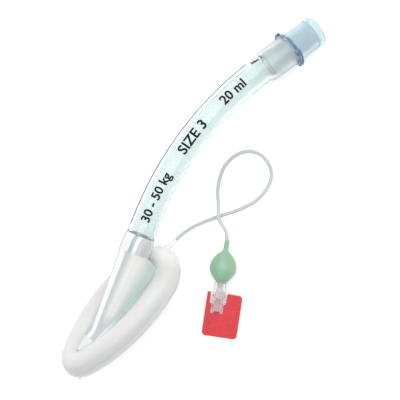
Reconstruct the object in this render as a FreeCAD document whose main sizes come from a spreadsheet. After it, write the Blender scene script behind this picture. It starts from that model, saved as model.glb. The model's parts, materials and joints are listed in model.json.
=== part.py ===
import FreeCAD, Part
import math
import os
import Sketcher

# Laryngeal mask airway, size 3, as it lies on a table: an inflated cuff bonded to a dished backplate, a curved
# airway tube in the backplate's socket, a 15 mm connector pressed into the tube, and an inflation line that runs
# from the cuff's heel to a pilot balloon with a check valve, which a red vent tag holds open.
# The row frame has its origin on the table under the middle of the airway, +X from the mask's toe to the
# connector, +Z up. The mask frame has its origin in the middle of the cuff's plane, +X to the heel, +Z to the back.

# Sizes in millimetres and degrees, as measured on the device.
SIZES = (
    ("cuff_length", 78.0),          # toe to heel, outside
    ("cuff_section", 13.0),         # diameter of the inflated tube
    ("heel_radius", 14.5),          # of the cuff's centre line at the connector end
    ("side_radius", 62.0),
    ("toe_radius", 7.0),
    ("cuff_flat", 0.8),             # how far the soft cuff is pressed flat by the table
    ("port_height", 3.0),           # inflation port above the cuff's plane
    ("port_tilt", -8.0),            # against the cuff's plane
    ("port_length", 6.2),
    ("port_outer", 2.7),
    ("port_root", 3.8),             # diameter where the port flares into the cuff
    ("port_flare", 1.6),
    ("port_depth", 5.0),            # how deep the line is bonded in
    ("nib_diameter", 1.6),          # moulding nib at the toe
    ("nib_length", 0.9),
    ("nib_turn", 32.0),             # round the toe from its end, towards the near side
    ("nib_dip", 16.0),              # below the cuff's plane
    ("bond_angle", 50.0),           # where the backplate leaves the cuff, above its inner equator
    ("bond_gap", 0.05),
    ("dish_wall", 1.3),
    ("dish_foot", 2.2),             # lower edge of the backplate's foot above the cuff's plane
    ("dish_crown", 4.8),            # height of the dish's flat part above the cuff's plane
    ("dish_end_gap", 0.9),          # ends of the dish inside its bond line at the toe and the heel
    ("dish_end_wall", 3.2),         # wall left at the dish's toe and heel
    ("ridge_drop", 1.3),            # crest of the ridge below the barrel's back, at the rim
    ("ridge_toe_gap", 7.4),         # toe end of the ridge inside that of the dish
    ("ridge_toe_rise", 0.85),       # crest of the ridge there, above the dish's foot
    ("ridge_toe_width", 5.2),
    ("socket_slope", 22.0),
    ("socket_setback", 4.6),        # centre of the socket's rim inside the cuff's heel
    ("socket_height", 19.8),        # the same above the cuff's plane
    ("socket_depth", 9.0),
    ("socket_wall", 1.0),
    ("socket_lip", 0.3),            # wall left at the tapered rim
    ("socket_taper", 3.0),
    ("socket_root", 14.0),          # how far the socket's barrel runs into the ridge
    ("socket_root_outer", 13.0),    # diameter where the barrel has sunk into the ridge
    ("throat_spare", 0.5),          # throat radius over the tube's bore radius
    ("tube_fit", 0.05),             # radial gap of the tube in its socket
    ("tube_outer", 14.0),
    ("tube_bore", 10.0),
    ("tube_lead", 9.0),             # straight stretch between the rim and the bend
    ("tube_arc", 92.5),             # length of the bend along the axis
    ("tube_turn", 37.6),
    ("tube_tail", 17.0),            # straight stretch at the connector
    ("flare_taper", 3.5),
    ("edge_break", 0.4),
    ("spigot_outer", 12.0),
    ("spigot_length", 13.0),
    ("spigot_fit", 0.02),
    ("spigot_lead", 0.8),
    ("flange_outer", 17.4),
    ("flange_thickness", 2.0),
    ("ear_reach", 10.0),            # radius over the gripping ears
    ("ear_width", 10.4),
    ("ear_turn", 20.0),
    ("cone_large", 15.7),           # 15 mm male cone, taper 1 in 40
    ("cone_small", 15.29),
    ("cone_length", 16.4),
    ("connector_bore", 11.4),
    ("mouth_bore", 12.6),
    ("mouth_depth", 3.4),
    ("mouth_step", 0.8),
    ("line_diameter", 1.8),
    ("line_fit", 0.05),
    ("balloon_diameter", 13.4),
    ("neck_outer", 2.5),
    ("neck_length", 5.4),
    ("neck_reach", 14.2),           # neck mouth to the widest section
    ("neck_depth", 3.5),            # how deep the line is bonded into the neck
    ("collar_reach", 7.4),          # widest section to the balloon's collar
    ("collar_outer", 5.4),
    ("stub_outer", 4.4),            # bonded end of the valve base
    ("stub_length", 4.4),
    ("stub_bore", 1.6),
    ("base_small", 5.5),
    ("base_large", 6.1),
    ("base_end", 14.0),
    ("chamber_bore", 3.8),
    ("chamber_floor", 7.2),
    ("seat_reach", 12.3),           # sealing seat, from the balloon's widest section
    ("seat_bore", 2.5),
    ("valve_fit", 0.05),
    ("luer_floor", 15.2),
    ("luer_end", 21.7),
    ("luer_outer", 5.4),
    ("luer_inner_floor", 3.92),
    ("luer_inner_mouth", 4.3),      # 6 percent female Luer taper
    ("lug_start", 14.6),
    ("lug_end", 18.2),
    ("lug_width", 2.2),
    ("lug_reach", 7.6),             # over both lugs
    ("lug_root", 0.4),
    ("lug_break", 0.35),            # step down from the collar to the skirt
    ("plunger_lift", 0.9),          # how far the tag holds the seal off its seat
    ("plunger_travel", 0.8),        # what is left of the stroke
    ("head_diameter", 3.2),
    ("head_thickness", 0.8),
    ("stem_diameter", 1.5),
    ("stem_tip", 15.5),
    ("guide_diameter", 1.5),
    ("guide_length", 1.0),
    ("seal_thickness", 0.55),
    ("seal_fit", 0.02),
    ("spring_mean", 2.5),
    ("spring_wire", 0.3),
    ("spring_turns", 4.5),
    ("spring_fit", 0.02),
    ("tag_thickness", 1.0),
    ("tag_start", 12.8),
    ("tag_end", 35.2),
    ("tag_left", 5.8),
    ("tag_right", 11.7),
    ("tag_corner", 1.8),
    ("notch_half", 4.1),
    ("notch_floor", 18.5),
    ("slot_inner", 1.35),
    ("slot_outer", 3.1),
    ("slot_floor", 23.7),
    ("tongue_fit", 0.05),           # between the tongue and the plunger's stem
    ("mask_roll", 55.0),            # the mask lies on one side of its cuff, back uppermost
    ("pilot_x", 48.1),              # widest section of the balloon on the table, from the mask's centre
    ("pilot_y", -25.2),
    ("pilot_turn", -148.4),         # direction from balloon to tag
    ("port_run", 10.5),             # straight run of the line out of the port
    ("neck_run", 7.5),              # the same out of the balloon's neck
)

# Points that the inflation line's route turns at between its two straight ends: along and across the table from
# the mask's centre, and above the table.
LINE_ROUTE = (
    (56.2, -1.6, 6.0),
    (65.8, -6.9, 0.95),
    (76.3, -13.7, 0.95),
    (87.4, -17.6, 0.95),
    (99.9, -14.8, 0.95),
    (104.0, -4.1, 0.95),
    (99.6, 4.6, 0.95),
    (88.2, 7.7, 0.95),
    (76.9, 3.0, 0.95),
    (70.3, -3.6, 6.0),
    (64.4, -8.3, 8.6),
)

SHEET = "Dimensions"


class Size:
    """A size and the sheet's expression for it, worked out together."""

    def __init__(self, value, text):
        self.value = float(value)
        self.text = text

    def join(self, other, sign, value):
        return Size(value, "(%s %s %s)" % (self.text, sign, as_size(other).text))

    def __add__(self, other):
        return self.join(other, "+", self.value + as_size(other).value)

    def __sub__(self, other):
        return self.join(other, "-", self.value - as_size(other).value)

    def __mul__(self, other):
        return self.join(other, "*", self.value * as_size(other).value)

    def __truediv__(self, other):
        return self.join(other, "/", self.value / as_size(other).value)

    def __neg__(self):
        return Size(-self.value, "(0 - %s)" % self.text)


def as_size(number):
    return number if isinstance(number, Size) else Size(number, repr(float(number)))


doc = FreeCAD.newDocument("LaryngealMaskAirway")
sheet = doc.addObject("Spreadsheet::Sheet", SHEET)
for row, (alias, number) in enumerate(SIZES, 1):
    sheet.set("A%d" % row, alias)
    sheet.set("B%d" % row, str(number))
    sheet.setAlias("B%d" % row, alias)
doc.recompute()


class Dims:
    """The sheet's sizes by name."""


dims = Dims()
for alias, number in SIZES:
    setattr(dims, alias, Size(sheet.get(alias), "%s.%s" % (SHEET, alias)))

ORIGIN = FreeCAD.Vector(0, 0, 0)
X_AXIS = FreeCAD.Vector(1, 0, 0)
Y_AXIS = FreeCAD.Vector(0, 1, 0)
Z_AXIS = FreeCAD.Vector(0, 0, 1)
H_AXIS = -1
START, END, CENTRE = 1, 2, 3


def new_body(name, label):
    body = doc.addObject("PartDesign::Body", name)
    body.Label = label
    return body


def origin_plane(body, role):
    return next(plane for plane in body.Origin.OriginFeatures if plane.Role == role)


def new_sketch(body, name, role):
    sketch = body.newObject("Sketcher::SketchObject", name)
    sketch.AttachmentSupport = [(origin_plane(body, role), "")]
    sketch.MapMode = "FlatFace"
    return sketch


def bind(sketch, name, size, kind, *references):
    """Adds a dimension to a sketch and ties it to the sheet."""
    index = sketch.addConstraint(Sketcher.Constraint(kind, *references, size.value))
    sketch.renameConstraint(index, name)
    sketch.setExpression("Constraints." + name, size.text)


def place_point(sketch, name, geometry, end, across, up):
    bind(sketch, name + "_x", as_size(across), "DistanceX", H_AXIS, START, geometry, end)
    bind(sketch, name + "_y", as_size(up), "DistanceY", H_AXIS, START, geometry, end)


def polygon(sketch, corners):
    """A closed outline of straight lines with every corner placed by the sheet."""
    spots = [FreeCAD.Vector(as_size(x).value, as_size(y).value, 0) for x, y in corners]
    count = len(spots)
    for index in range(count):
        sketch.addGeometry(Part.LineSegment(spots[index], spots[(index + 1) % count]))
    for index, (across, up) in enumerate(corners):
        sketch.addConstraint(Sketcher.Constraint("Coincident", index, END, (index + 1) % count, START))
        place_point(sketch, "corner%d" % index, index, START, across, up)


def circle(sketch, name, diameter, across=0.0, up=0.0):
    index = sketch.addGeometry(Part.Circle(
        FreeCAD.Vector(as_size(across).value, as_size(up).value, 0), Z_AXIS, as_size(diameter).value / 2))
    place_point(sketch, name, index, CENTRE, across, up)
    bind(sketch, name + "_diameter", as_size(diameter), "Diameter", index)


def turned(body, name, corners, hollow=False):
    """Revolves an outline of (along, radius) corners about the body's X axis, as a solid or as a groove."""
    sketch = new_sketch(body, name + "_outline", "XZ_Plane")
    polygon(sketch, corners)
    item = body.newObject("PartDesign::Groove" if hollow else "PartDesign::Revolution", name)
    item.Profile = sketch
    item.ReferenceAxis = (sketch, ["H_Axis"])
    item.Angle = 360.0
    return item


def piped(body, name, path, edges, diameter, role, across=0.0, hollow=False):
    """Sweeps a circle along a path sketch, as a solid or as a bore."""
    ring = new_sketch(body, name + "_ring", role)
    circle(ring, "ring", diameter, across)
    doc.recompute()
    item = body.newObject("PartDesign::SubtractivePipe" if hollow else "PartDesign::AdditivePipe", name)
    item.Profile = ring
    item.Spine = (path, ["Edge%d" % (index + 1) for index in range(edges)])
    return item


def drum(name, radius, length, start=0.0):
    """A cylinder along X from the given start."""
    item = doc.addObject("Part::Cylinder", name)
    item.setExpression("Radius", as_size(radius).text)
    item.setExpression("Height", as_size(length).text)
    item.Placement = FreeCAD.Placement(X_AXIS * as_size(start).value, FreeCAD.Rotation(Y_AXIS, 90))
    return item


def box(name, x, y, z):
    """A box between the (low, high) sizes along each axis."""
    item = doc.addObject("Part::Box", name)
    for side, (low, high) in zip(("Length", "Width", "Height"), (x, y, z)):
        item.setExpression(side, (as_size(high) - low).text)
    item.Placement.Base = FreeCAD.Vector(*(as_size(low).value for low, high in (x, y, z)))
    return item


def both(name, base, tool):
    item = doc.addObject("Part::Common", name)
    item.Base, item.Tool = base, tool
    return item


def cut(name, base, tool):
    item = doc.addObject("Part::Cut", name)
    item.Base, item.Tool = base, tool
    return item


def fused(name, *pieces):
    item = doc.addObject("Part::MultiFuse", name)
    item.Shapes = list(pieces)
    item.Refine = True
    return item


def feature(name, shape):
    item = doc.addObject("Part::Feature", name)
    item.Shape = shape
    return item


def frame(origin, x_direction, z_direction):
    """A placement with the given X and Z directions."""
    y_direction = z_direction.cross(x_direction)
    return FreeCAD.Placement(FreeCAD.Matrix(
        x_direction.x, y_direction.x, z_direction.x, origin.x,
        x_direction.y, y_direction.y, z_direction.y, origin.y,
        x_direction.z, y_direction.z, z_direction.z, origin.z,
        0, 0, 0, 1))


def slope_direction(degrees):
    """A direction in the mask's mid plane, so many degrees above the cuff's plane, towards the heel."""
    return FreeCAD.Vector(math.cos(math.radians(degrees)), 0, math.sin(math.radians(degrees)))


class Egg:
    """The cuff's centre line: a heel arc, a toe arc and two long side arcs, each tangent to the next."""

    def __init__(self, inset=0.0):
        self.reach = (dims.cuff_length.value - dims.cuff_section.value) / 2
        heel, side, toe = dims.heel_radius.value, dims.side_radius.value, dims.toe_radius.value
        self.heel_x = self.reach - heel
        self.toe_x = toe - self.reach
        self.side_x = ((2 * side * (heel - toe) + toe ** 2 - heel ** 2 + self.heel_x ** 2 - self.toe_x ** 2)
                       / (2 * (self.heel_x - self.toe_x)))
        self.side_y = math.sqrt((side - heel) ** 2 - (self.side_x - self.heel_x) ** 2)
        self.heel, self.side, self.toe = heel - inset, side - inset, toe - inset
        self.heel_angle = math.atan2(self.side_y, self.heel_x - self.side_x)
        self.toe_angle = math.atan2(self.side_y, self.toe_x - self.side_x)

    def half_width(self, along):
        if along > self.heel_x + self.heel * math.cos(self.heel_angle):
            return math.sqrt(self.heel ** 2 - (along - self.heel_x) ** 2)
        if along < self.toe_x + self.toe * math.cos(self.toe_angle):
            return math.sqrt(self.toe ** 2 - (along - self.toe_x) ** 2)
        return math.sqrt(self.side ** 2 - (along - self.side_x) ** 2) - self.side_y

    def arcs(self):
        """Each arc, anticlockwise from the heel's extreme point."""
        full = 2 * math.pi
        heel_centre = FreeCAD.Vector(self.heel_x, 0, 0)
        toe_centre = FreeCAD.Vector(self.toe_x, 0, 0)
        near = FreeCAD.Vector(self.side_x, -self.side_y, 0)
        far = FreeCAD.Vector(self.side_x, self.side_y, 0)
        return [Part.ArcOfCircle(Part.Circle(centre, Z_AXIS, radius), first, last)
                for centre, radius, first, last in (
                    (heel_centre, self.heel, 0, self.heel_angle),
                    (near, self.side, self.heel_angle, self.toe_angle),
                    (toe_centre, self.toe, self.toe_angle, full - self.toe_angle),
                    (far, self.side, full - self.toe_angle, full - self.heel_angle),
                    (heel_centre, self.heel, full - self.heel_angle, full))]


# Places in the mask frame: the socket, the connector at the tube's far end, and the port at the cuff's heel.
socket_slope = dims.socket_slope.value
tail_slope = socket_slope - dims.tube_turn.value
rim_centre = FreeCAD.Vector(dims.cuff_length.value / 2 - dims.socket_setback.value, 0, dims.socket_height.value)
socket_axis = slope_direction(socket_slope)
socket_back = slope_direction(socket_slope + 90)
bend_radius = dims.tube_arc.value / math.radians(dims.tube_turn.value)
bend_centre = rim_centre + socket_axis * dims.tube_lead.value - socket_back * bend_radius
tail_axis = slope_direction(tail_slope)
tail_back = slope_direction(tail_slope + 90)
tail_end = bend_centre + tail_back * bend_radius + tail_axis * dims.tube_tail.value
SOCKET_IN_MASK = frame(rim_centre, -socket_axis, socket_back)
CONNECTOR_IN_MASK = frame(tail_end, -tail_axis, tail_back)
cuff_radius = dims.cuff_section.value / 2
port_root = FreeCAD.Vector(Egg().reach + math.sqrt(cuff_radius ** 2 - dims.port_height.value ** 2), 0,
                           dims.port_height.value)
PORT_IN_MASK = frame(port_root, slope_direction(dims.port_tilt.value), slope_direction(dims.port_tilt.value + 90))
nib_bearing = FreeCAD.Rotation(Z_AXIS, 180 + dims.nib_turn.value)
nib_root = X_AXIS * (dims.toe_radius.value - Egg().reach) + nib_bearing.multVec(X_AXIS) * dims.toe_radius.value
NIB_IN_MASK = FreeCAD.Placement(nib_root, nib_bearing.multiply(FreeCAD.Rotation(Y_AXIS, dims.nib_dip.value)))


# Connector frame: origin on the flange's tube side, +X down the spigot, +Z to the airway's back.
def tube_connector():
    body = new_body("Barrel", "barrel")
    neck = -dims.flange_thickness
    mouth = neck - dims.cone_length
    spigot = dims.spigot_outer / 2
    bore = dims.connector_bore / 2
    flange = dims.flange_outer / 2
    turned(body, "BarrelTurned", (
        (dims.spigot_length, dims.tube_bore / 2),
        (dims.spigot_length, spigot - dims.edge_break),
        (dims.spigot_length - dims.spigot_lead, spigot),
        (0, spigot),
        (0, flange - dims.edge_break),
        (-dims.edge_break, flange),
        (neck + dims.edge_break, flange),
        (neck, flange - dims.edge_break),
        (neck, dims.cone_large / 2),
        (mouth + dims.edge_break, dims.cone_small / 2),
        (mouth, dims.cone_small / 2 - dims.edge_break),
        (mouth, dims.mouth_bore / 2),
        (mouth + dims.mouth_depth, dims.mouth_bore / 2),
        (mouth + dims.mouth_depth + dims.mouth_step, bore),
        (neck, bore),
    ))
    half = dims.ear_width / 2
    slab = box("EarSlab", (neck, 0), (-dims.ear_reach, dims.ear_reach), (-half, half))
    slab.Placement = FreeCAD.Placement(ORIGIN, FreeCAD.Rotation(X_AXIS, -dims.ear_turn.value)).multiply(slab.Placement)
    ears = both("Ears", drum("EarDisc", dims.ear_reach, dims.flange_thickness, neck), slab)
    clear = cut("EarsCleared", ears, drum("EarBore", spigot, dims.flange_thickness * 3, neck * 2))
    return fused("ConnectorFused", body, clear)


# Tube, in the connector's frame: a round pipe with one bend, stretched over the spigot at its near end.
def airway_tube():
    body = new_body("Tube", "tube")
    path = new_sketch(body, "TubePath", "XZ_Plane")
    angle = math.radians(dims.tube_turn.value)
    tail, lead = dims.tube_tail, dims.tube_lead + dims.socket_depth
    bend_in = X_AXIS * tail.value
    bend_middle = bend_in - Y_AXIS * bend_radius
    bend_out = bend_middle + FreeCAD.Vector(math.sin(angle), math.cos(angle), 0) * bend_radius
    far_end = bend_out + FreeCAD.Vector(math.cos(angle), -math.sin(angle), 0) * lead.value
    path.addGeometry(Part.LineSegment(ORIGIN, bend_in))
    path.addGeometry(Part.ArcOfCircle(Part.Circle(bend_middle, Z_AXIS, bend_radius),
                                      math.pi / 2 - angle, math.pi / 2))
    path.addGeometry(Part.LineSegment(bend_out, far_end))
    path.addConstraint(Sketcher.Constraint("Coincident", 0, START, H_AXIS, START))
    path.addConstraint(Sketcher.Constraint("Horizontal", 0))
    path.addConstraint(Sketcher.Constraint("Tangent", 0, END, 1, END))
    path.addConstraint(Sketcher.Constraint("Tangent", 1, START, 2, START))
    bind(path, "tail", tail, "Distance", 0)
    bind(path, "lead", lead, "Distance", 2)
    bind(path, "bend", dims.tube_arc / (dims.tube_turn * (math.pi / 180)), "Radius", 1)
    bind(path, "turn", Size(-angle, "-1 deg * %s" % dims.tube_turn.text), "Angle", 2)
    doc.recompute()
    spigot = dims.spigot_outer / 2 + dims.spigot_fit
    wall = (dims.tube_outer - dims.tube_bore) / 2
    straight = dims.spigot_length + dims.spigot_fit
    taper_end = straight + dims.flare_taper
    piped(body, "TubeWall", path, 3, dims.tube_outer, "YZ_Plane")
    turned(body, "TubeFlare", (
        (0, 0),
        (0, spigot + wall - dims.edge_break),
        (dims.edge_break, spigot + wall),
        (straight, spigot + wall),
        (taper_end, dims.tube_outer / 2),
        (taper_end, 0),
    ))
    piped(body, "TubeBore", path, 3, dims.tube_bore, "YZ_Plane", hollow=True)
    turned(body, "TubeSocket", (
        (0, 0),
        (0, spigot),
        (straight, spigot),
        (taper_end, dims.tube_bore / 2),
        (taper_end, 0),
    ), hollow=True)
    return body


# Cuff, in the mask frame: the inflated ring with the inflation port at its heel and a moulding nib at its toe.
def ring_solid():
    body = new_body("Ring", "ring")
    path = new_sketch(body, "RingPath", "XY_Plane")
    for arc in Egg().arcs():
        path.addGeometry(arc)
    last = path.GeometryCount - 1
    for index in range(last):
        path.addConstraint(Sketcher.Constraint("Tangent", index, END, index + 1, START))
    path.addConstraint(Sketcher.Constraint("Coincident", last, END, 0, START))
    path.addConstraint(Sketcher.Constraint("Coincident", last, CENTRE, 0, CENTRE))
    path.addConstraint(Sketcher.Constraint("PointOnObject", 0, START, H_AXIS))
    reach = (dims.cuff_length - dims.cuff_section) / 2
    place_point(path, "heel_centre", 0, CENTRE, reach - dims.heel_radius, 0)
    place_point(path, "toe_centre", 2, CENTRE, dims.toe_radius - reach, 0)
    for name, index, size in (("heel_arc", 0, dims.heel_radius), ("near_side", 1, dims.side_radius),
                              ("toe_arc", 2, dims.toe_radius), ("far_side", 3, dims.side_radius)):
        bind(path, name, size, "Radius", index)
    doc.recompute()
    piped(body, "RingTube", path, last + 1, dims.cuff_section, "XZ_Plane", across=reach)
    return body


def port_boss():
    body = new_body("Port", "port")
    outer = dims.port_outer / 2
    turned(body, "PortTurned", (
        (-dims.port_depth, 0),
        (-dims.port_depth, dims.port_root / 2),
        (0, dims.port_root / 2),
        (dims.port_flare, outer),
        (dims.port_length, outer),
        (dims.port_length, 0),
    ))
    body.Placement = PORT_IN_MASK
    return body


def mask_cuff():
    nib = drum("Nib", dims.nib_diameter / 2, dims.nib_length * 2, dims.cuff_section / 2 - dims.nib_length)
    nib.Placement = NIB_IN_MASK.multiply(nib.Placement)
    bore = drum("PortBore", dims.line_diameter / 2 + dims.line_fit, dims.port_depth * 2,
                dims.port_length - dims.port_depth)
    bore.Placement = PORT_IN_MASK.multiply(bore.Placement)
    return cut("CuffBored", fused("CuffWhole", ring_solid(), port_boss(), nib), bore)


# Backplate, in the mask frame: a shallow dish lofted through arched sections whose feet follow the cuff, a ridge
# along its back that narrows to the toe, and the socket for the tube at the ridge's high end. The dish's foot is
# cut to the cuff's own surface.
def arch_section(along, half_width, base, crest):
    """A half ellipse over a straight foot, in a plane across the mask."""
    left, right = FreeCAD.Vector(0, -1, 0), FreeCAD.Vector(0, 1, 0)
    unit = Part.Wire([Part.Arc(right, Z_AXIS, left).toShape(), Part.makeLine(left, right)])
    return unit.transformGeometry(FreeCAD.Matrix(1, 0, 0, along,
                                                 0, half_width, 0, 0,
                                                 0, 0, crest - base, base,
                                                 0, 0, 0, 1))


def dish_solid(wall, end_wall):
    """The outside of the dish and its ridge, or with a wall their inside, which stays open below."""
    inset = cuff_radius * math.cos(math.radians(dims.bond_angle.value))
    egg = Egg(inset)
    foot = dims.dish_foot.value
    reach = egg.reach - inset - dims.dish_end_gap.value
    end = reach - end_wall
    places = [end * (2 * index / (DISH_SECTIONS - 1) - 1) for index in range(DISH_SECTIONS)]
    dish = Part.makeLoft([arch_section(along, egg.half_width(along) - wall, foot - wall,
                                       dims.dish_crown.value - wall) for along in places], True, False)
    barrel = dims.tube_outer.value / 2 + dims.tube_fit.value + dims.socket_wall.value
    high_end = rim_centre + socket_back * barrel
    low_along = dims.ridge_toe_gap.value - reach
    low_crest, high_crest = foot + dims.ridge_toe_rise.value, high_end.z - dims.ridge_drop.value
    low_half = dims.ridge_toe_width.value / 2
    sections = []
    for along in (low_along + end_wall, end):
        share = (along - low_along) / (high_end.x - low_along)
        sections.append(arch_section(along, low_half + (barrel - low_half) * share - wall, foot - wall,
                                     low_crest + (high_crest - low_crest) * share - wall))
    return dish.fuse(Part.makeLoft(sections, True, False))


def mask_backplate():
    tube = dims.tube_outer.value / 2 + dims.tube_fit.value
    lip, barrel = tube + dims.socket_lip.value, tube + dims.socket_wall.value
    taper, root = dims.socket_taper.value, dims.socket_root.value
    depth = dims.socket_depth.value
    throat = dims.tube_bore.value / 2 + dims.throat_spare.value
    outside = Part.makeCone(lip, barrel, taper, ORIGIN, X_AXIS).fuse([
        Part.makeCylinder(barrel, depth - taper, X_AXIS * taper, X_AXIS),
        Part.makeCone(barrel, dims.socket_root_outer.value / 2, root - depth, X_AXIS * depth, X_AXIS)])
    inside = Part.makeCylinder(tube, depth + taper, X_AXIS * -taper, X_AXIS).fuse(
        Part.makeCylinder(throat, root - depth, X_AXIS * depth, X_AXIS))
    for shape in (outside, inside):
        shape.Placement = SOCKET_IN_MASK
    solid = dish_solid(0, 0).fuse(outside)
    solid = solid.cut(dish_solid(dims.dish_wall.value, dims.dish_end_wall.value)).cut(inside)
    ring = Part.Wire([arc.toShape() for arc in Egg().arcs()])
    section = Part.Wire(Part.makeCircle(cuff_radius + dims.bond_gap.value,
                                        X_AXIS * Egg().reach, Y_AXIS))
    return feature("Backplate", solid.cut(ring.makePipeShell([section], True, False)).removeSplitter())


# Pilot frame: origin in the middle of the balloon's widest section, +X from the balloon to the tag, the tag
# flat in the XY plane.
def pilot_balloon():
    body = new_body("Balloon", "pilot_balloon")
    radius = dims.balloon_diameter / 2
    neck = dims.neck_outer / 2
    mouth = -dims.neck_reach
    turned(body, "BalloonTurned", (
        (mouth, 0),
        (mouth, neck),
        (mouth + dims.neck_length, neck),
        (radius * -1.22, radius * 0.3),
        (radius * -1.07, radius * 0.46),
        (radius * -0.88, radius * 0.64),
        (radius * -0.62, radius * 0.81),
        (radius * -0.36, radius * 0.94),
        (radius * -0.12, radius),
        (radius * 0.12, radius),
        (radius * 0.36, radius * 0.92),
        (radius * 0.62, radius * 0.77),
        (radius * 0.86, radius * 0.58),
        (dims.collar_reach, dims.collar_outer / 2),
        (dims.collar_reach, 0),
    ))
    line = dims.line_diameter / 2 + dims.line_fit
    stub = dims.stub_outer / 2 + dims.valve_fit
    floor = dims.collar_reach - dims.stub_length
    turned(body, "NeckBore", (
        (mouth, 0),
        (mouth, line),
        (mouth + dims.neck_depth, line),
        (mouth + dims.neck_depth, 0),
    ), hollow=True)
    turned(body, "CollarBore", (
        (floor, 0),
        (floor, stub),
        (dims.collar_reach, stub),
        (dims.collar_reach, 0),
    ), hollow=True)
    return body


def valve_base():
    body = new_body("ValveBase", "valve_base")
    start = dims.collar_reach - dims.stub_length
    turned(body, "BaseTurned", (
        (start, dims.stub_bore / 2),
        (start, dims.stub_outer / 2),
        (dims.collar_reach, dims.stub_outer / 2),
        (dims.collar_reach, dims.base_small / 2),
        (dims.base_end, dims.base_large / 2),
        (dims.base_end, dims.chamber_bore / 2),
        (dims.chamber_floor, dims.chamber_bore / 2),
        (dims.chamber_floor, dims.stub_bore / 2),
    ))
    return body


def valve_body():
    body = new_body("LuerTurned", "luer")
    spigot = dims.chamber_bore / 2 - dims.valve_fit
    turned(body, "LuerOutline", (
        (dims.seat_reach, dims.seat_bore / 2),
        (dims.seat_reach, spigot),
        (dims.base_end, spigot),
        (dims.base_end, dims.base_large / 2),
        (dims.lug_start, dims.base_large / 2),
        (dims.lug_start + dims.lug_break, dims.luer_outer / 2),
        (dims.luer_end, dims.luer_outer / 2),
        (dims.luer_end, dims.luer_inner_mouth / 2),
        (dims.luer_floor, dims.luer_inner_floor / 2),
        (dims.luer_floor, dims.seat_bore / 2),
    ))
    half = dims.lug_width / 2
    outer = dims.lug_reach / 2
    inner = dims.luer_outer / 2 - dims.lug_root
    lugs = [box(name, (dims.lug_start, dims.lug_end), span, (-half, half))
            for name, span in (("LugRight", (inner, outer)), ("LugLeft", (-outer, -inner)))]
    return fused("LuerFused", body, *lugs)


def valve_plunger():
    body = new_body("Plunger", "valve_plunger")
    head_back = dims.seat_reach - dims.plunger_lift - dims.seal_thickness - dims.head_thickness
    stem, guide, head = dims.stem_diameter / 2, dims.guide_diameter / 2, dims.head_diameter / 2
    turned(body, "PlungerTurned", (
        (head_back - dims.guide_length, 0),
        (head_back - dims.guide_length, guide),
        (head_back, guide),
        (head_back, head),
        (head_back + dims.head_thickness, head),
        (head_back + dims.head_thickness, stem),
        (dims.stem_tip, stem),
        (dims.stem_tip, 0),
    ))
    return body


def valve_seal():
    body = new_body("Seal", "valve_seal")
    front = dims.seat_reach - dims.plunger_lift
    inner, outer = dims.stem_diameter / 2 + dims.seal_fit, dims.head_diameter / 2
    turned(body, "SealTurned", (
        (front - dims.seal_thickness, inner),
        (front - dims.seal_thickness, outer),
        (front, outer),
        (front, inner),
    ))
    return body


def valve_spring():
    """A coil along X between the chamber's floor and the plunger's head, of many-sided wire."""
    radius = dims.spring_mean.value / 2
    wire = dims.spring_wire.value / 2
    head_back = (dims.seat_reach - dims.plunger_lift - dims.seal_thickness - dims.head_thickness).value
    first = dims.chamber_floor.value + wire + dims.spring_fit.value
    rise = head_back - wire - dims.spring_fit.value - first
    steps = int(SPRING_STEPS * dims.spring_turns.value)
    sections = []
    for step in range(steps + 1):
        angle = 2 * math.pi * step / SPRING_STEPS
        outward = FreeCAD.Vector(0, math.cos(angle), math.sin(angle))
        centre = outward * radius + X_AXIS * (first + rise * step / steps)
        sections.append([centre + outward * (wire * math.cos(side)) + X_AXIS * (wire * math.sin(side))
                         for side in (2 * math.pi * count / SPRING_SIDES for count in range(SPRING_SIDES))])
    corners = [sections[0][::-1], sections[-1]]
    for near, far in zip(sections, sections[1:]):
        for side in range(SPRING_SIDES):
            following = (side + 1) % SPRING_SIDES
            corners.append([near[side], near[following], far[side]])
            corners.append([near[following], far[following], far[side]])
    faces = [Part.Face(Part.makePolygon(loop + loop[:1])) for loop in corners]
    return feature("Spring", Part.makeSolid(Part.makeShell(faces)))


def vent_tag():
    half = dims.tag_thickness / 2
    level = (-half, half)
    plate = box("TagPlate", (dims.tag_start, dims.tag_end), (-dims.tag_left, dims.tag_right), level)
    doc.recompute()
    rounded = doc.addObject("Part::Fillet", "TagRounded")
    rounded.Base = plate
    corner = dims.tag_corner.value
    upright = [index for index, edge in enumerate(plate.Shape.Edges, 1)
               if abs(edge.tangentAt(edge.FirstParameter).z) > 0.9]
    far = [index for index in upright if plate.Shape.Edges[index - 1].CenterOfMass.x > dims.notch_floor.value
           or plate.Shape.Edges[index - 1].CenterOfMass.y > 0]
    rounded.Edges = [(index, corner, corner) for index in far]
    notch = box("TagNotch", (dims.tag_start - 1, dims.notch_floor), (-dims.notch_half, dims.notch_half), level)
    radius = (dims.slot_outer - dims.slot_inner) / 2
    middle = (dims.slot_outer + dims.slot_inner) / 2
    straight = dims.slot_floor - radius
    openings = [notch]
    for name, sign in (("Right", 1), ("Left", -1)):
        sides = (dims.slot_inner, dims.slot_outer) if sign > 0 else (-dims.slot_outer, -dims.slot_inner)
        openings.append(box("Slot" + name, (dims.notch_floor - 1, straight), sides, level))
        end = doc.addObject("Part::Cylinder", "SlotEnd" + name)
        end.setExpression("Radius", radius.text)
        end.setExpression("Height", dims.tag_thickness.text)
        end.Placement.Base = FreeCAD.Vector(straight.value, sign * middle.value, -half.value)
        openings.append(end)
    tongue = box("TagTongue", (dims.stem_tip + dims.tongue_fit, dims.slot_floor),
                 (-dims.slot_inner, dims.slot_inner), level)
    return fused("TagFused", cut("TagOpened", rounded, fused("TagOpenings", *openings)), tongue)


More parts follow.
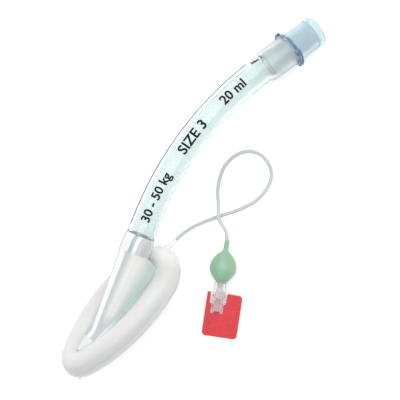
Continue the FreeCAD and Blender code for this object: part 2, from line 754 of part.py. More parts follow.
# Inflation line on the table's axes: straight runs joined by tangent arcs, from the bottom of the port's bore
# to the bottom of the bore in the balloon's neck.
def line_points(mask_spot, port, pilot):
    bore_end = X_AXIS * (dims.port_length - dims.port_depth).value
    neck_end = X_AXIS * (dims.neck_depth - dims.neck_reach).value
    route = [mask_spot + FreeCAD.Vector(*point) for point in LINE_ROUTE]
    return ([port.multVec(bore_end), port.multVec(bore_end + X_AXIS * dims.port_run.value)] + route
            + [pilot.multVec(neck_end - X_AXIS * dims.neck_run.value), pilot.multVec(neck_end)])


def rounded_route(points):
    """The route's wire and its arcs' radii."""
    edges = []
    radii = []
    start = points[0]
    for before, corner, after in zip(points, points[1:], points[2:]):
        back, ahead = before - corner, after - corner
        half_turn = (math.pi - back.getAngle(ahead)) / 2
        trim = CORD_ROUNDING * min(back.Length, ahead.Length)
        radius = trim / math.tan(half_turn)
        back.normalize()
        ahead.normalize()
        inward = back + ahead
        inward.normalize()
        middle = corner + inward * (radius / math.cos(half_turn) - radius)
        arc_start, arc_end = corner + back * trim, corner + ahead * trim
        edges.append(Part.makeLine(start, arc_start))
        edges.append(Part.Arc(arc_start, middle, arc_end).toShape())
        radii.append(radius)
        start = arc_end
    edges.append(Part.makeLine(start, points[-1]))
    return Part.Wire(edges), radii


def inflation_line(points):
    route, radii = rounded_route(points)
    print("line radii mm", [round(radius, 1) for radius in radii])
    circle_edge = Part.makeCircle(dims.line_diameter.value / 2, points[0], points[1] - points[0])
    tube = route.makePipeShell([Part.Wire(circle_edge)], True, False)
    section = math.pi * (dims.line_diameter.value / 2) ** 2
    print("line length mm %.1f, volume %.2f, section times length %.2f"
          % (route.Length, tube.Volume, section * route.Length))
    return feature("InflationLine", tube)


# Rest pose: each group is turned until its two lowest ends stand on the table.
def fine_points(*objects):
    return [spot for item in objects for spot in item.Shape.tessellate(FACET)[0]]


def lowest(points, turn):
    return min(turn.multVec(point).z for point in points)


def settle(turn_at, near_points, far_points, drop):
    """The turn, from a falling difference, that puts the near points' lowest a drop above the far points'."""
    low, high = TURN_RANGE
    for _ in range(TURN_STEPS):
        middle = (low + high) / 2
        turn = turn_at(middle)
        if lowest(near_points, turn) - lowest(far_points, turn) > drop:
            low = middle
        else:
            high = middle
    return turn_at((low + high) / 2)


DISH_SECTIONS = 9
SPRING_STEPS = 12
SPRING_SIDES = 6
CORD_ROUNDING = 0.45
FACET = 0.02
TURN_RANGE = (-10.0, 30.0)
TURN_STEPS = 40

connector = tube_connector()
tube = airway_tube()
cuff = mask_cuff()
backplate = mask_backplate()
balloon = pilot_balloon()
base = valve_base()
luer = valve_body()
plunger = valve_plunger()
seal = valve_seal()
spring = valve_spring()
tag = vent_tag()
doc.recompute()

connector_points = [CONNECTOR_IN_MASK.multVec(point) for point in fine_points(connector)]
cuff_points = fine_points(cuff)
mask_turn = settle(lambda pitch: FreeCAD.Rotation(Y_AXIS, pitch).multiply(
    FreeCAD.Rotation(X_AXIS, -dims.mask_roll.value)), connector_points, cuff_points, dims.cuff_flat.value)
airway_points = connector_points + cuff_points + fine_points(backplate) + [
    CONNECTOR_IN_MASK.multVec(point) for point in fine_points(tube)]
spots = [mask_turn.multVec(point) for point in airway_points]
middle_x = (min(spot.x for spot in spots) + max(spot.x for spot in spots)) / 2
middle_y = (min(spot.y for spot in spots) + max(spot.y for spot in spots)) / 2
MASK_ON_TABLE = FreeCAD.Placement(FreeCAD.Vector(-middle_x, -middle_y, -lowest(connector_points, mask_turn)),
                                  mask_turn)
pilot_points = fine_points(balloon)
pilot_turn = settle(lambda slope: FreeCAD.Rotation(Z_AXIS, dims.pilot_turn.value).multiply(
    FreeCAD.Rotation(Y_AXIS, slope)), fine_points(tag), pilot_points, 0.0)
mask_spot = FreeCAD.Vector(-middle_x, -middle_y, 0)
PILOT_ON_TABLE = FreeCAD.Placement(mask_spot + FreeCAD.Vector(dims.pilot_x.value, dims.pilot_y.value,
                                                              -lowest(pilot_points, pilot_turn)), pilot_turn)
CONNECTOR_ON_TABLE = MASK_ON_TABLE.multiply(CONNECTOR_IN_MASK)
points = line_points(mask_spot, MASK_ON_TABLE.multiply(PORT_IN_MASK), PILOT_ON_TABLE)
line = inflation_line(points)
for name, placement in (("mask", MASK_ON_TABLE), ("connector", CONNECTOR_ON_TABLE), ("pilot", PILOT_ON_TABLE)):
    print(name, "on the table", [round(entry, 6) for entry in placement.Matrix.A])
print("line points", [(round(spot.x, 2), round(spot.y, 2), round(spot.z, 2)) for spot in points])

cuff.Placement = MASK_ON_TABLE
reach = dims.cuff_length.value
table = box("Table", (-reach * 2, reach), (-reach, reach), (-reach / 2, 0))
flattened = cut("CuffFlattened", cuff, table)
for item, placement in ((connector, CONNECTOR_ON_TABLE), (tube, CONNECTOR_ON_TABLE), (backplate, MASK_ON_TABLE),
                        (balloon, PILOT_ON_TABLE), (base, PILOT_ON_TABLE), (luer, PILOT_ON_TABLE),
                        (plunger, PILOT_ON_TABLE), (seal, PILOT_ON_TABLE), (tag, PILOT_ON_TABLE)):
    item.Placement = placement
spring.Placement = PILOT_ON_TABLE.multiply(spring.Placement)

NODES = (
    ("airway_tube", tube),
    ("tube_connector", connector),
    ("mask_backplate", backplate),
    ("mask_cuff", flattened),
    ("inflation_line", line),
    ("pilot_balloon", balloon),
    ("valve_base", base),
    ("valve_body", luer),
    ("valve_plunger", plunger),
    ("valve_seal", seal),
    ("valve_spring", spring),
    ("vent_tag", tag),
)
for label, item in NODES:
    item.Label = label
doc.recompute()

os.makedirs("parts", exist_ok=True)
failed = [item.Label for item in doc.Objects if "Invalid" in item.State or "Error" in item.State]
if failed:
    raise RuntimeError("not recomputed: %s" % ", ".join(failed))
for label, item in NODES:
    shape = item.Shape
    if shape.isNull() or not shape.isValid() or len(shape.Solids) != 1:
        raise RuntimeError("%s isn't one valid solid" % label)
    shape.exportStep("parts/%s.step" % label)
    bounds = shape.optimalBoundingBox(False)
    print("%-16s volume %9.2f  x %7.2f %7.2f  y %7.2f %7.2f  z %6.2f %6.2f"
          % (label, shape.Volume, bounds.XMin, bounds.XMax, bounds.YMin, bounds.YMax, bounds.ZMin, bounds.ZMax))
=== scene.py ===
"""Dresses the laryngeal mask airway: clear plastics, inflated cuff and balloon, inflation line and print."""
import json
import math

import bmesh
import bpy
from mathutils import Matrix, Vector


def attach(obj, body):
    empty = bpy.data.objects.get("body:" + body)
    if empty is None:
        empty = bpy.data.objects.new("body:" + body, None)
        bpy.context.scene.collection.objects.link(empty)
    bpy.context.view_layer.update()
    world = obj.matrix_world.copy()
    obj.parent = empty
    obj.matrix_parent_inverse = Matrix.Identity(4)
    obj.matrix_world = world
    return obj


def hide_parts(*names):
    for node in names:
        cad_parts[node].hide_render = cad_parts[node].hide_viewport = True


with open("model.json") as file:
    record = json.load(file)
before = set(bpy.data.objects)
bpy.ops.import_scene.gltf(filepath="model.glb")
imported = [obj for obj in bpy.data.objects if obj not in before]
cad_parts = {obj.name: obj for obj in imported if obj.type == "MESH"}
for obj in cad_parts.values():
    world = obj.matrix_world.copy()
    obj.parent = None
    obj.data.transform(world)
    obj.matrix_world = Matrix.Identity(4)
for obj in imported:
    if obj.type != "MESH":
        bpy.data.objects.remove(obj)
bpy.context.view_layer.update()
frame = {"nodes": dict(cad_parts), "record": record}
nodes = frame["nodes"]
mounts = {mount["name"]: mount for mount in frame["record"]["mounts"]}

# Sizes in metres and radians. The tube and its socket.
MASK_ROLL = math.radians(55.0)
SOCKET_RIM = Vector((0.0344, 0.0, 0.0198))
SOCKET_SLOPE = math.radians(22.0)
SOCKET_DEPTH = 0.0090
SOCKET_BORE = 0.00705  # this and the next two are radii
SOCKET_LIP = 0.00714
SOCKET_BARREL = 0.00765
SOCKET_TAPER = 0.0030
SOCKET_ROOT = 0.0140
SOCKET_ROOT_RADIUS = 0.0062
THROAT_RADIUS = 0.0055
SOCKET_SIDES = 96
TUBE_RADIUS = 0.0070
BORE_RADIUS = 0.0050
TUBE_LEAD = 0.0090
TUBE_ARC = 0.0925
TUBE_TURN = math.radians(37.6)
TUBE_TAIL = 0.0170
TUBE_SIDES = 96
TUBE_STEP = 0.0010
FLARE_TAPER = 0.0035
SPIGOT_RADIUS = 0.00602
SPIGOT_DEPTH = 0.01302
EDGE_BREAK = 0.0004

# The connector, and the valve's end.
FLANGE_THICKNESS = 0.0020
CONE_LENGTH = 0.0164
LUER_END = 0.0217

# The dish and the ridge on its back.
BOND_RADIUS = 0.00655
BOND_ANGLE = math.radians(50.0)
BOND_STEPS = 200
BOND_SIDES = 64
DISH_WALL = 0.0013
DISH_FOOT = 0.0022
DISH_CROWN = 0.0048
DISH_END_GAP = 0.0009
DISH_END_WALL = 0.0032
DISH_SECTIONS = 60
DISH_ARCH_STEPS = 47
RIDGE_WIDE = 0.00775
RIDGE_NARROW = 0.0031
RIDGE_DROP = 0.0001
RIDGE_DRAFT = 0.50
RIDGE_TOE_GAP = 0.0074
RIDGE_TOE_RISE = 0.00085
RIDGE_SECTIONS = 40
RIDGE_ARCH_STEPS = 64
ARCH_SHARE = 0.97
OVERLAP = 0.00010

# The cuff with its seam, port and nib. An outline is (along, radius) about its own axis.
CUFF_LENGTH = 0.0780
CUFF_RADIUS = 0.0065
HEEL_RADIUS = 0.0145
SIDE_RADIUS = 0.0620
TOE_RADIUS = 0.0070
CUFF_STEPS = 280
CUFF_SIDES = 72
PUCKER_DEPTH = 0.00010
PUCKER_TURN = 420.0  # of the wave, once round the cuff
PUCKER_SPREAD = 0.05  # to both sides of the toe, as a share of the cuff's line
TABLE_GAP = 0.00002
CUFF_SEAM_ANGLE = math.radians(-9.0)
CUFF_SEAM_RADIUS = 0.00022
CUFF_SEAM_SIDES = 8
PORT_HEIGHT = 0.0030
PORT_TILT = math.radians(-8.0)
PORT_SIDES = 40
PORT_PROFILE = ((-0.0050, 0.0), (-0.0050, 0.0019), (0.0, 0.0019), (0.0008, 0.0016), (0.0016, 0.00138),
                (0.0024, 0.00135), (0.0059, 0.00135), (0.0062, 0.0012), (0.0062, 0.0))
NIB_SIDES = 24
NIB_PROFILE = ((0.0056, 0.0), (0.0056, 0.0008), (0.0071, 0.0008), (0.0074, 0.0005), (0.0074, 0.0))
NIB_TURN = math.radians(32.0)
NIB_DIP = math.radians(16.0)

# The inflation line.
LINE_DIAMETER = 0.0018
LINE_ROUTE = (
    (-0.02636, -0.00695, 0.01640), (-0.01619, -0.00815, 0.01409), (-0.00945, -0.01087, 0.00600),
    (0.00015, -0.01617, 0.00095), (0.01065, -0.02297, 0.00095), (0.02175, -0.02687, 0.00095),
    (0.03425, -0.02407, 0.00095), (0.03835, -0.01337, 0.00095), (0.03395, -0.00467, 0.00095),
    (0.02255, -0.00157, 0.00095), (0.01125, -0.00627, 0.00095), (0.00465, -0.01287, 0.00600),
    (-0.00125, -0.01757, 0.00860), (-0.00229, -0.02509, 0.00996), (-0.00858, -0.02895, 0.00863),
)

# Half outline of the pilot balloon: along its axis from the widest section, and radius.
BALLOON_SIDES = 64
BALLOON_STEPS = 5
BALLOON_PROFILE = (
    (-0.0142, 0.0), (-0.0142, 0.00112), (-0.0139, 0.00125), (-0.0112, 0.00126), (-0.0092, 0.00145),
    (-0.0082, 0.00215), (-0.0072, 0.00320), (-0.0058, 0.00445), (-0.0040, 0.00565), (-0.0020, 0.00640),
    (0.0, 0.00670), (0.0018, 0.00640), (0.0036, 0.00545), (0.0052, 0.00420), (0.0064, 0.00315),
    (0.0070, 0.00275), (0.0073, 0.00265), (0.0074, 0.00240), (0.0074, 0.0),
)

# Print on the tube. A side is the angle round the tube from its back.
PRINT_BOLD = 0.00018
PRINT_LIFT = 0.00002
PRINT_DEPTH = 0.00003
PRINT_SIDE = math.radians(52.0)
PRINT_GRID = 0.0006
PRINT_MERGE = PRINT_GRID / 1000
PRINTS = (  # words, distance along the tube from the socket's rim, height of the figures, side
    ("30 - 50 kg", 0.0075, 0.0062, PRINT_SIDE),
    ("SIZE 3", 0.0440, 0.0070, PRINT_SIDE),
    ("20 ml", 0.0745, 0.0066, PRINT_SIDE),
    ("No 3", 0.0980, 0.0030, math.radians(10.0)),
)
STRIPE_SIDE = math.radians(-16.0)
STRIPE_WIDTH = 0.0011
STRIPE_START = 0.0035
STRIPE_END = 0.0965

# Joining and cutting is done in millimetres, at which the solver's tolerances are small.
WORK_SCALE = 1000.0
WORK_MERGE = 0.004

# A node's loose triangles are joined, and edges sharper than a crease stay sharp.
NODE_MERGE = 0.000002
NODE_CREASE = math.radians(30.0)
SPRING_CREASE = math.radians(75.0)
TUBE_CREASE = math.radians(30.0)
BACKPLATE_CREASE = math.radians(35.0)

# Looks. Colours are linear, and shades are (place, colour). An edge is where a patch of colour starts, and
# where it is full. A grain is a noise's scale, and a gloss the lowest and highest roughness.
TUBE_GLOSS = 0.10
FLARE_MATT = 0.30
LINE_GLOSS = (0.14, 0.24)
LINE_GRAIN = 400.0
BALLOON_GRAIN = 260.0
BALLOON_BUMP = 0.00005
BALLOON_SHADES = ((0.3, (0.215, 0.385, 0.255)), (0.7, (0.255, 0.42, 0.295)))
TAG_GRAIN = 900.0
TAG_BUMP = 0.00006
TAG_SHADES = ((0.3, (0.52, 0.022, 0.030)), (0.7, (0.60, 0.032, 0.044)))

CUFF_GRAIN = 70.0
CUFF_BUMP = 0.0002
CUFF_GLOSS = (0.28, 0.40)
CUFF_PAINTED_LIGHT_ALONG = 9.0  # painted light rises per metre towards the heel
CUFF_PAINTED_LIGHT_ACROSS = 12.0  # painted light rises per metre towards the far side
CUFF_PAINTED_LIGHT_SHADES = (
    (0.17, (0.49, 0.495, 0.50)), (0.34, (0.51, 0.52, 0.52)), (0.44, (0.55, 0.555, 0.55)),
    (0.60, (0.58, 0.58, 0.57)), (0.75, (0.74, 0.74, 0.73)),
)
# Painted shade on the cuff's far limb.
PAINTED_SHADE_FAR_LIMB = (0.485, 0.49, 0.495)
PAINTED_SHADE_FAR_LIMB_SIDE_EDGE = (0.0110, 0.0160)
PAINTED_SHADE_FAR_LIMB_TOE_EDGE = (-0.0200, -0.00889)
PAINTED_SHADE_FAR_LIMB_HEEL_EDGE = (0.0140, 0.00289)
# Painted light on the upper side of the cuff's roll, where light falls.
PAINTED_LIGHT_CUFF_TOP = (0.60, 0.598, 0.595)
PAINTED_LIGHT_CUFF_TOP_EDGE = (0.0036, 0.00638)
PAINTED_LIGHT_CUFF_TOP_HEEL_EDGE = (0.0240, 0.01567)
# Painted shade on the cuff's underside.
PAINTED_SHADE_CUFF_UNDERSIDE = (0.56, 0.57, 0.575)
PAINTED_SHADE_CUFF_UNDERSIDE_EDGE = (-0.0002, -0.00353)
# Painted light inside the heel, where the gap by the socket lies in shade.
PAINTED_LIGHT_INSIDE_HEEL = (0.95, 0.95, 0.94)
PAINTED_LIGHT_INSIDE_HEEL_TOE_EDGE = (0.0140, 0.0190)
PAINTED_LIGHT_INSIDE_HEEL_HEEL_EDGE = (0.0290, 0.0265)
PAINTED_LIGHT_INSIDE_HEEL_SIDE_EDGE = (0.01143, 0.00429)

# Painted light and shade on the ridge (a white crest, painted dark refraction edges, a painted highlight on
# the flanks and painted shade towards the foot) lie on rays: across, as a share of RAY_MIDDLE + RAY_SPREAD *
# along.
RAY_SPREAD = 0.0905
RAY_MIDDLE = 0.00500
RAY_SPAN = 1.8
RIDGE_PAINTED_LIGHT_AND_SHADE = (
    (0.36, (0.95, 0.95, 0.95)), (0.52, (0.54, 0.57, 0.58)), (0.74, (0.68, 0.69, 0.69)),
    (0.92, (0.88, 0.88, 0.87)), (1.02, (0.88, 0.88, 0.87)), (1.12, (0.74, 0.77, 0.76)),
    (1.25, (0.56, 0.66, 0.64)), (1.60, (0.54, 0.64, 0.62)),
)
# Painted refraction: the tube's wall as seen through the socket, by the share of the barrel's radius.
SOCKET_PAINTED_TUBE_REFRACTION = (
    (0.50, (0.92, 0.92, 0.94)), (0.57, (0.44, 0.56, 0.57)), (0.71, (0.44, 0.56, 0.57)),
    (0.77, (0.92, 0.93, 0.93)), (0.86, (0.90, 0.91, 0.91)), (0.90, (0.56, 0.64, 0.64)),
    (0.95, (0.70, 0.72, 0.71)), (1.0, (0.60, 0.62, 0.61)),
)
PAINTED_VIEW_FADE = 0.0008
# Painted shade off the crest near the toe.
TOE_EDGE = (-0.00364, -0.01273)
PAINTED_TOE_SHADE = (0.56, 0.60, 0.62)
CREST_EDGE = (0.0020, 0.00283)
PALE_TOE = (0.80, 0.83, 0.83)
DISH_RAY_EDGE = (1.45, 1.533)
RIDGE_END_EDGE = (-0.01889, -0.0200)
# Painted shade on the ridge's far flank.
PAINTED_FAR_FLANK_SHADE = (0.40, 0.44, 0.46)
PAINTED_FAR_FLANK_SHADE_SIDE_EDGE = (0.0011, 0.00201)
PAINTED_FAR_FLANK_SHADE_RAY_EDGE = (0.8, 0.7)

CONNECTOR_SPAN = 0.05
# The spigot's near white is painted light, against the shade inside the tube.
CONNECTOR_TINT_AND_PAINTED_LIGHT = (  # along the connector from its flange's cone side: cone, flange, spigot
    (-0.0024, (0.66, 0.79, 0.84)), (-0.0020, (0.56, 0.64, 0.78)),
    (0.0001, (0.56, 0.64, 0.78)), (0.0004, (0.98, 0.98, 0.99)),
)
FLANGE_RIM = (0.16, 0.22, 0.36)
FLANGE_RIM_EDGE = (0.0084, 0.008743)

# Table, light and camera.
WHITE = (1.0, 1.0, 1.0)
TABLE_COLOUR = (0.97, 0.97, 0.97)
TABLE_GLOW = 0.12
TABLE_REACH = 2.0
STUDIO_STRENGTH = 0.76
LAMP_SPOT = (0.21, 0.24, 1.16)
LAMP_SIZE = 1.6
LAMP_POWER = 13.5
CAMERA_SPOT = Vector((0.028134, -0.003210, 0.944800))
CAMERA_TURN = (math.radians(-1.308), math.radians(1.034), math.radians(-49.884))
CAMERA_LENS = 171.0
SENSOR_WIDTH = 36.0


class Reading:
    """A socket's value in a finish, on which arithmetic adds Math nodes."""

    def __init__(self, finish, socket):
        self.finish = finish
        self.socket = socket

    def math(self, operation, *values):
        return self.finish.node("ShaderNodeMath", {"operation": operation}, dict(enumerate(values)))

    def __add__(self, other):
        return self.math("ADD", self, other)

    def __radd__(self, other):
        return self.math("ADD", other, self)

    def __sub__(self, other):
        return self.math("SUBTRACT", self, other)

    def __rsub__(self, other):
        return self.math("SUBTRACT", other, self)

    def __mul__(self, other):
        return self.math("MULTIPLY", self, other)

    def __rmul__(self, other):
        return self.math("MULTIPLY", other, self)

    def __truediv__(self, other):
        return self.math("DIVIDE", self, other)

    def __rtruediv__(self, other):
        return self.math("DIVIDE", other, self)

    def __abs__(self):
        return self.math("ABSOLUTE", self)

    def rise(self, start, full):
        """A factor that goes evenly from 0 where the value is at start to 1 where it is at full."""
        return self.finish.node("ShaderNodeClamp", {}, {"Value": (self - start) * (1 / (full - start))})


class Finish:
    """A material whose shader's own sockets hold what is the same all over the piece."""

    def __init__(self, name, **constants):
        self.material = bpy.data.materials.new(name)
        self.material.use_nodes = True
        self.tree = self.material.node_tree
        self.shader = self.tree.nodes["Principled BSDF"]
        for word, value in constants.items():
            self.set(word.replace("_", " ").title().replace("Ior", "IOR"), value)

    def feed(self, socket, value):
        if isinstance(value, Reading):
            self.tree.links.new(value.socket, socket)
        elif socket.type == "RGBA":
            socket.default_value = (*value, 1.0)
        else:
            socket.default_value = value

    def node(self, kind, settings, inputs, output=0):
        """Adds a node: its settings first, then the values or links of its sockets."""
        made = self.tree.nodes.new(kind)
        for name, value in settings.items():
            if name == "stops":
                self.set_stops(made.color_ramp, value)
            else:
                setattr(made, name, value)
        for name, value in inputs.items():
            self.feed(made.inputs[name], value)
        return Reading(self, made.outputs[output])

    @staticmethod
    def set_stops(ramp, stops):
        while len(ramp.elements) < len(stops):
            ramp.elements.new(1.0)
        for element, (place, colour) in zip(ramp.elements, stops):
            element.position = place
            element.color = (*colour, 1.0)

    def place(self, matrix=Matrix.Identity(4)):
        """Object coordinates, read in the frame of one of the object's parts."""
        spot = self.node("ShaderNodeTexCoord", {}, {}, "Object")
        turned = matrix.inverted()
        return self.node("ShaderNodeMapping", {"vector_type": "POINT"}, {
            "Vector": spot, "Location": turned.to_translation(), "Rotation": turned.to_euler()})

    def axis(self, place, letter):
        return self.node("ShaderNodeSeparateXYZ", {}, {"Vector": place}, letter)

    def noise(self, place, scale):
        return self.node("ShaderNodeTexNoise", {}, {"Vector": place, "Scale": scale})

    def ramp(self, value, shades, first=0.0, last=1.0):
        """Shades at values from first to last."""
        span = last - first
        stops = [((place - first) / span, colour) for place, colour in shades]
        return self.node("ShaderNodeValToRGB", {"stops": stops}, {"Fac": (value - first) * (1 / span)})

    def patch(self, ground, factor, colour):
        """The colour laid over the ground, as far as the factor says."""
        return self.node("ShaderNodeMix", {"data_type": "RGBA"}, {0: factor, 6: ground, 7: colour}, 2)

    def level(self, factor, low, high):
        """A value between low and high as the factor goes from 0 to 1."""
        return low + factor * (high - low)

    def set(self, socket, value):
        self.feed(self.shader.inputs[socket], value)

    def bump(self, height, distance):
        self.set("Normal", self.node("ShaderNodeBump", {}, {"Height": height, "Distance": distance}))


def spread(first, last, steps):
    return [first + (last - first) * step / steps for step in range(steps + 1)]


def around(sides):
    return [2 * math.pi * side / sides for side in range(sides)]


def slope_direction(angle):
    """A direction in the mask's mid plane, at an angle above the cuff's plane, towards the heel."""
    return Vector((math.cos(angle), 0.0, math.sin(angle)))


def back_direction(angle):
    return slope_direction(angle + math.pi / 2)


BEND_RADIUS = TUBE_ARC / TUBE_TURN
BEND_START = SOCKET_RIM + slope_direction(SOCKET_SLOPE) * TUBE_LEAD
BEND_CENTRE = BEND_START - back_direction(SOCKET_SLOPE) * BEND_RADIUS
TAIL_SLOPE = SOCKET_SLOPE - TUBE_TURN
BEND_END = BEND_CENTRE + back_direction(TAIL_SLOPE) * BEND_RADIUS
TUBE_END = TUBE_LEAD + TUBE_ARC + TUBE_TAIL


def tube_station(distance):
    """The tube's centre and slope in the mask frame, at a distance from the socket's rim."""
    if distance < TUBE_LEAD:
        return SOCKET_RIM + slope_direction(SOCKET_SLOPE) * distance, SOCKET_SLOPE
    if distance < TUBE_LEAD + TUBE_ARC:
        slope = SOCKET_SLOPE - (distance - TUBE_LEAD) / BEND_RADIUS
        return BEND_CENTRE + back_direction(slope) * BEND_RADIUS, slope
    return BEND_END + slope_direction(TAIL_SLOPE) * (distance - TUBE_LEAD - TUBE_ARC), TAIL_SLOPE


def tube_spot(distance, side, radius):
    """A point at a side and a radius of the tube."""
    centre, slope = tube_station(distance)
    outward = back_direction(slope) * math.cos(side) + Vector((0.0, -1.0, 0.0)) * math.sin(side)
    return MASK @ (centre + outward * radius)


def mask_frame():
    """The mask's frame at rest, from where the record has the connector's cone."""
    cone = mounts["breathing_circuit_cone"]
    axis = Vector(cone["axis"])
    rolled = Matrix.Rotation(-MASK_ROLL, 4, "X")
    tail = rolled @ slope_direction(TAIL_SLOPE)
    pitch = math.atan2(tail.z, tail.x) - math.atan2(axis.z, axis.x)
    turn = Matrix.Rotation(pitch, 4, "Y") @ rolled
    tube_end = Vector(cone["pos_m"]) - axis * (FLANGE_THICKNESS + CONE_LENGTH / 2)
    return Matrix.Translation(tube_end - turn @ tube_station(TUBE_END)[0]) @ turn


def pilot_frame():
    """The pilot balloon's frame at rest, X from the balloon to the tag, from the record's Luer port."""
    port = mounts["luer_port"]
    along = Vector(port["axis"]).normalized()
    across = Vector((0.0, 0.0, 1.0)).cross(along).normalized()
    turn = Matrix((along, across, along.cross(across))).transposed().to_4x4()
    return Matrix.Translation(Vector(port["pos_m"]) - along * LUER_END) @ turn


def connector_frame():
    """The connector's frame: origin on its flange's cone side, X down the spigot."""
    middle, slope = tube_station(TUBE_END)
    turn = Matrix.Rotation(-slope, 4, "Y") @ Matrix.Rotation(math.pi, 4, "Z")
    return MASK @ Matrix.Translation(middle) @ turn


MASK = mask_frame()
PILOT = pilot_frame()
CONNECTOR = connector_frame()


def in_scene(name, data):
    made = bpy.data.objects.new(name, data)
    bpy.context.scene.collection.objects.link(made)
    return made


def new_object(name, mesh, material, smooth=True):
    if smooth:
        mesh.shade_smooth()
    else:
        mesh.shade_flat()
    mesh.materials.clear()
    mesh.materials.append(material)
    return in_scene(name, mesh)


def mesh_from(name, spots, faces, edges=()):
    mesh = bpy.data.meshes.new(name)
    mesh.from_pydata([tuple(spot) for spot in spots], edges, faces)
    mesh.validate()
    return mesh


def applied_mesh(source):
    """The object's mesh with its modifiers or its text applied."""
    return bpy.data.meshes.new_from_object(source.evaluated_get(bpy.context.evaluated_depsgraph_get()))


def face_outwards(mesh):
    work = bmesh.new()
    work.from_mesh(mesh)
    bmesh.ops.recalc_face_normals(work, faces=work.faces)
    work.to_mesh(mesh)
    work.free()


def lathe(profile, sides, matrix):
    """Corners and faces of a closed turned shape: (along, radius) points about the X axis of a frame."""
    spots, rings = [], []
    for along, radius in profile:
        if radius == 0.0:
            rings.append([len(spots)] * sides)
            spots.append(matrix @ Vector((along, 0.0, 0.0)))
            continue
        rings.append(list(range(len(spots), len(spots) + sides)))
        spots += [matrix @ Vector((along, radius * math.cos(angle), radius * math.sin(angle)))
                  for angle in around(sides)]
    faces = []
    for near, far in zip(rings, rings[1:]):
        for side in range(sides):
            following = (side + 1) % sides
            corners = (far[following], far[side], near[side], near[following])
            faces.append(tuple(dict.fromkeys(corners)))
    return spots, faces


def ring_faces(rings, sides):
    """Faces between the rings of a closed chain."""
    faces = []
    for ring in range(rings):
        near, far = ring * sides, (ring + 1) % rings * sides
        for side in range(sides):
            following = (side + 1) % sides
            faces.append((near + side, far + side, far + following, near + following))
    return faces


def smooth_profile(points, steps):
    """The outline with extra points on a smooth curve through those between its two end faces."""
    inner = points[1:-1]
    result = [points[0]]
    for index in range(len(inner) - 1):
        before = inner[max(index - 1, 0)]
        first, second = inner[index], inner[index + 1]
        after = inner[min(index + 2, len(inner) - 1)]
        for step in range(steps):
            t = step / steps
            result.append(tuple(
                0.5 * (2 * b + (c - a) * t + (2 * a - 5 * b + 4 * c - d) * t ** 2
                       + (3 * b - a - 3 * c + d) * t ** 3)
                for a, b, c, d in zip(before, first, second, after)))
    return result + [inner[-1], points[-1]]


class CuffLine:
    """The cuff's centre line in the mask frame: heel, toe and side arcs, each tangent to the next."""

    def __init__(self):
        reach = CUFF_LENGTH / 2 - CUFF_RADIUS
        heel_x, toe_x = reach - HEEL_RADIUS, TOE_RADIUS - reach
        side_x = ((2 * SIDE_RADIUS * (HEEL_RADIUS - TOE_RADIUS) + TOE_RADIUS ** 2 - HEEL_RADIUS ** 2
                   + heel_x ** 2 - toe_x ** 2) / (2 * (heel_x - toe_x)))
        side_y = math.sqrt((SIDE_RADIUS - HEEL_RADIUS) ** 2 - (side_x - heel_x) ** 2)
        heel = math.atan2(side_y, heel_x - side_x)
        toe = math.atan2(side_y, toe_x - side_x)
        full = 2 * math.pi
        self.reach = reach
        self.arcs = (
            (heel_x, 0.0, HEEL_RADIUS, 0.0, heel),
            (side_x, -side_y, SIDE_RADIUS, heel, toe),
            (toe_x, 0.0, TOE_RADIUS, toe, full - toe),
            (side_x, side_y, SIDE_RADIUS, full - toe, full - heel),
            (heel_x, 0.0, HEEL_RADIUS, full - heel, full),
        )
        self.length = sum(radius * (last - first) for _, _, radius, first, last in self.arcs)

    def station(self, share):
        """The point at a share of the line's length from the heel, and the outward direction there."""
        left = share * self.length
        for x, y, radius, first, last in self.arcs:
            span = radius * (last - first)
            if left <= span:
                break
            left -= span
        angle = first + left / radius
        outward = Vector((math.cos(angle), math.sin(angle), 0.0))
        return Vector((x, y, 0.0)) + outward * radius, outward

    def half_width(self, along, inset):
        """Half the width of the line moved inwards, at a place along the mask."""
        for x, y, radius, first, last in self.arcs[:3]:
            inner = radius - inset
            if along >= x + inner * math.cos(min(last, math.pi)):
                break
        return y + math.sqrt(max(inner ** 2 - (along - x) ** 2, 0.0))


CUFF_LINE = CuffLine()
BOND_INSET = CUFF_RADIUS * math.cos(BOND_ANGLE)


def rest_on_table(spot, gap=TABLE_GAP):
    """Soft film meets the table in a flat patch."""
    return Vector((spot.x, spot.y, max(spot.z, gap)))


def cuff_spot(share, angle, radius):
    """A point on the cuff at an angle above its outer equator."""
    centre, outward = CUFF_LINE.station(share)
    up = Vector((0.0, 0.0, 1.0))
    return MASK @ (centre + (outward * math.cos(angle) + up * math.sin(angle)) * radius)


def pucker(share, angle):
    """How far the film stands out in the toe's puckers, on the inner side of the cuff."""
    toe_nearness = math.exp(-((share - 0.5) / PUCKER_SPREAD) ** 2)
    return toe_nearness * max(0.0, -math.cos(angle)) * math.sin(share * PUCKER_TURN) * PUCKER_DEPTH


def cuff_piece(material):
    """The inflated ring, joined to its inflation port and moulding nib."""
    shares = spread(0.0, 1.0, CUFF_STEPS)[:-1]
    spots = [rest_on_table(cuff_spot(share, angle, CUFF_RADIUS + pucker(share, angle)))
             for share in shares for angle in around(CUFF_SIDES)]
    port_along = CUFF_LINE.reach + math.sqrt(CUFF_RADIUS ** 2 - PORT_HEIGHT ** 2)
    port_root = Matrix.Translation((port_along, 0.0, PORT_HEIGHT))
    port_frame = MASK @ port_root @ Matrix.Rotation(-PORT_TILT, 4, "Y")
    nib_turn = Matrix.Rotation(math.pi + NIB_TURN, 4, "Z")
    toe_centre = Vector((TOE_RADIUS - CUFF_LINE.reach, 0.0, 0.0))
    nib_root = toe_centre + nib_turn @ Vector((TOE_RADIUS, 0.0, 0.0))
    nib_frame = MASK @ Matrix.Translation(nib_root) @ nib_turn @ Matrix.Rotation(NIB_DIP, 4, "Y")
    mesh = carve("inflated_cuff", (spots, ring_faces(CUFF_STEPS, CUFF_SIDES)), (
        ("UNION", lathe(PORT_PROFILE, PORT_SIDES, port_frame)),
        ("UNION", lathe(NIB_PROFILE, NIB_SIDES, nib_frame))))
    return new_object("inflated_cuff", mesh, material)


